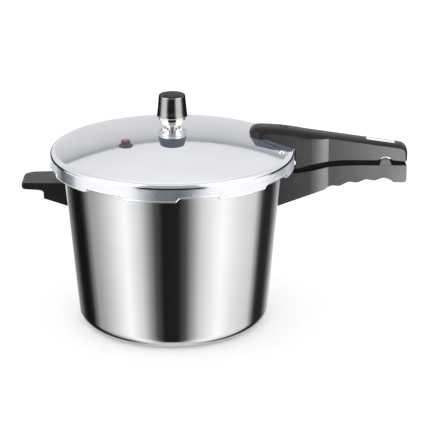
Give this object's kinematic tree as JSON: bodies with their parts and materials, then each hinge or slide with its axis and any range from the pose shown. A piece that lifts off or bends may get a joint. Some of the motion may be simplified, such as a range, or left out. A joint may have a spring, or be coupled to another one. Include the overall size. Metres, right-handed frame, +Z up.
{
  "type": "stovetop_pressure_cooker",
  "caption": "Stovetop pressure cooker: polished metal pot, outside bayonet lid, black long handle with helper handle, weight valve in a cup and safety plug",
  "frame": {"origin": "on the pot's axis, in the plane the pot stands on", "axes": "+Z up along the pot's axis, +X toward the end of the long handle"},
  "size_m": [0.3783, 0.24, 0.2308],
  "materials": {
    "polished_aluminium": "mirror polish on the pot and the lid",
    "plain_aluminium": "satin",
    "steel": "satin, zinc plated",
    "chromed_steel": "mirror chrome",
    "brass": "turned, semi-bright",
    "bakelite": "moulded black bakelite, satin",
    "black_chrome": "black chrome, its top satin",
    "slate_rubber": "moulded, slate grey",
    "black_rubber": "moulded, matt",
    "grey_rubber": "moulded silicone, matt",
    "red_silicone": "moulded silicone, satin",
    "label_plastic": "blank, satin"
  },
  "bodies": {
    "pot": {"pot_body": "polished_aluminium", "pot_handle_bracket": "plain_aluminium", "pot_handle_bracket_rivet_1": "plain_aluminium", "pot_handle_bracket_rivet_2": "plain_aluminium", "helper_bracket": "plain_aluminium", "helper_bracket_rivet_1": "plain_aluminium", "helper_bracket_rivet_2": "plain_aluminium", "lower_handle": "bakelite", "lower_handle_screw": "steel", "helper_handle": "bakelite", "helper_handle_screw": "steel"},
    "lid": {"lid_shell": "polished_aluminium", "gasket": "grey_rubber", "lid_bracket": "steel", "lid_bracket_rivet_1": "plain_aluminium", "lid_bracket_rivet_2": "plain_aluminium", "upper_handle": "bakelite", "upper_handle_screw": "steel", "upper_handle_nut": "steel", "blank_label_plate": "label_plastic", "vent_base": "slate_rubber", "vent_cup": "chromed_steel", "vent_tube": "chromed_steel", "vent_seal": "black_rubber", "vent_nut": "brass", "safety_plug": "black_rubber"},
    "weight": {"weight_insert": "brass", "weight_body": "chromed_steel", "weight_cap": "black_chrome"},
    "indicator": {"pressure_pin": "red_silicone", "pressure_pin_clip": "steel"}
  },
  "joints": [
    {"name": "lid_twist", "type": "hinge", "parent": "pot", "child": "lid", "pos_m": [0, 0, 0], "axis": [0, 0, 1], "range_deg": [0, 22.5]},
    {"name": "weight_lift", "type": "slide", "parent": "lid", "child": "weight", "axis": [0, 0, 1], "range_m": [0, 0.02]},
    {"name": "pin_rise", "type": "slide", "parent": "lid", "child": "indicator", "axis": [0, 0, 1], "range_m": [0, 0.004]}
  ]
}
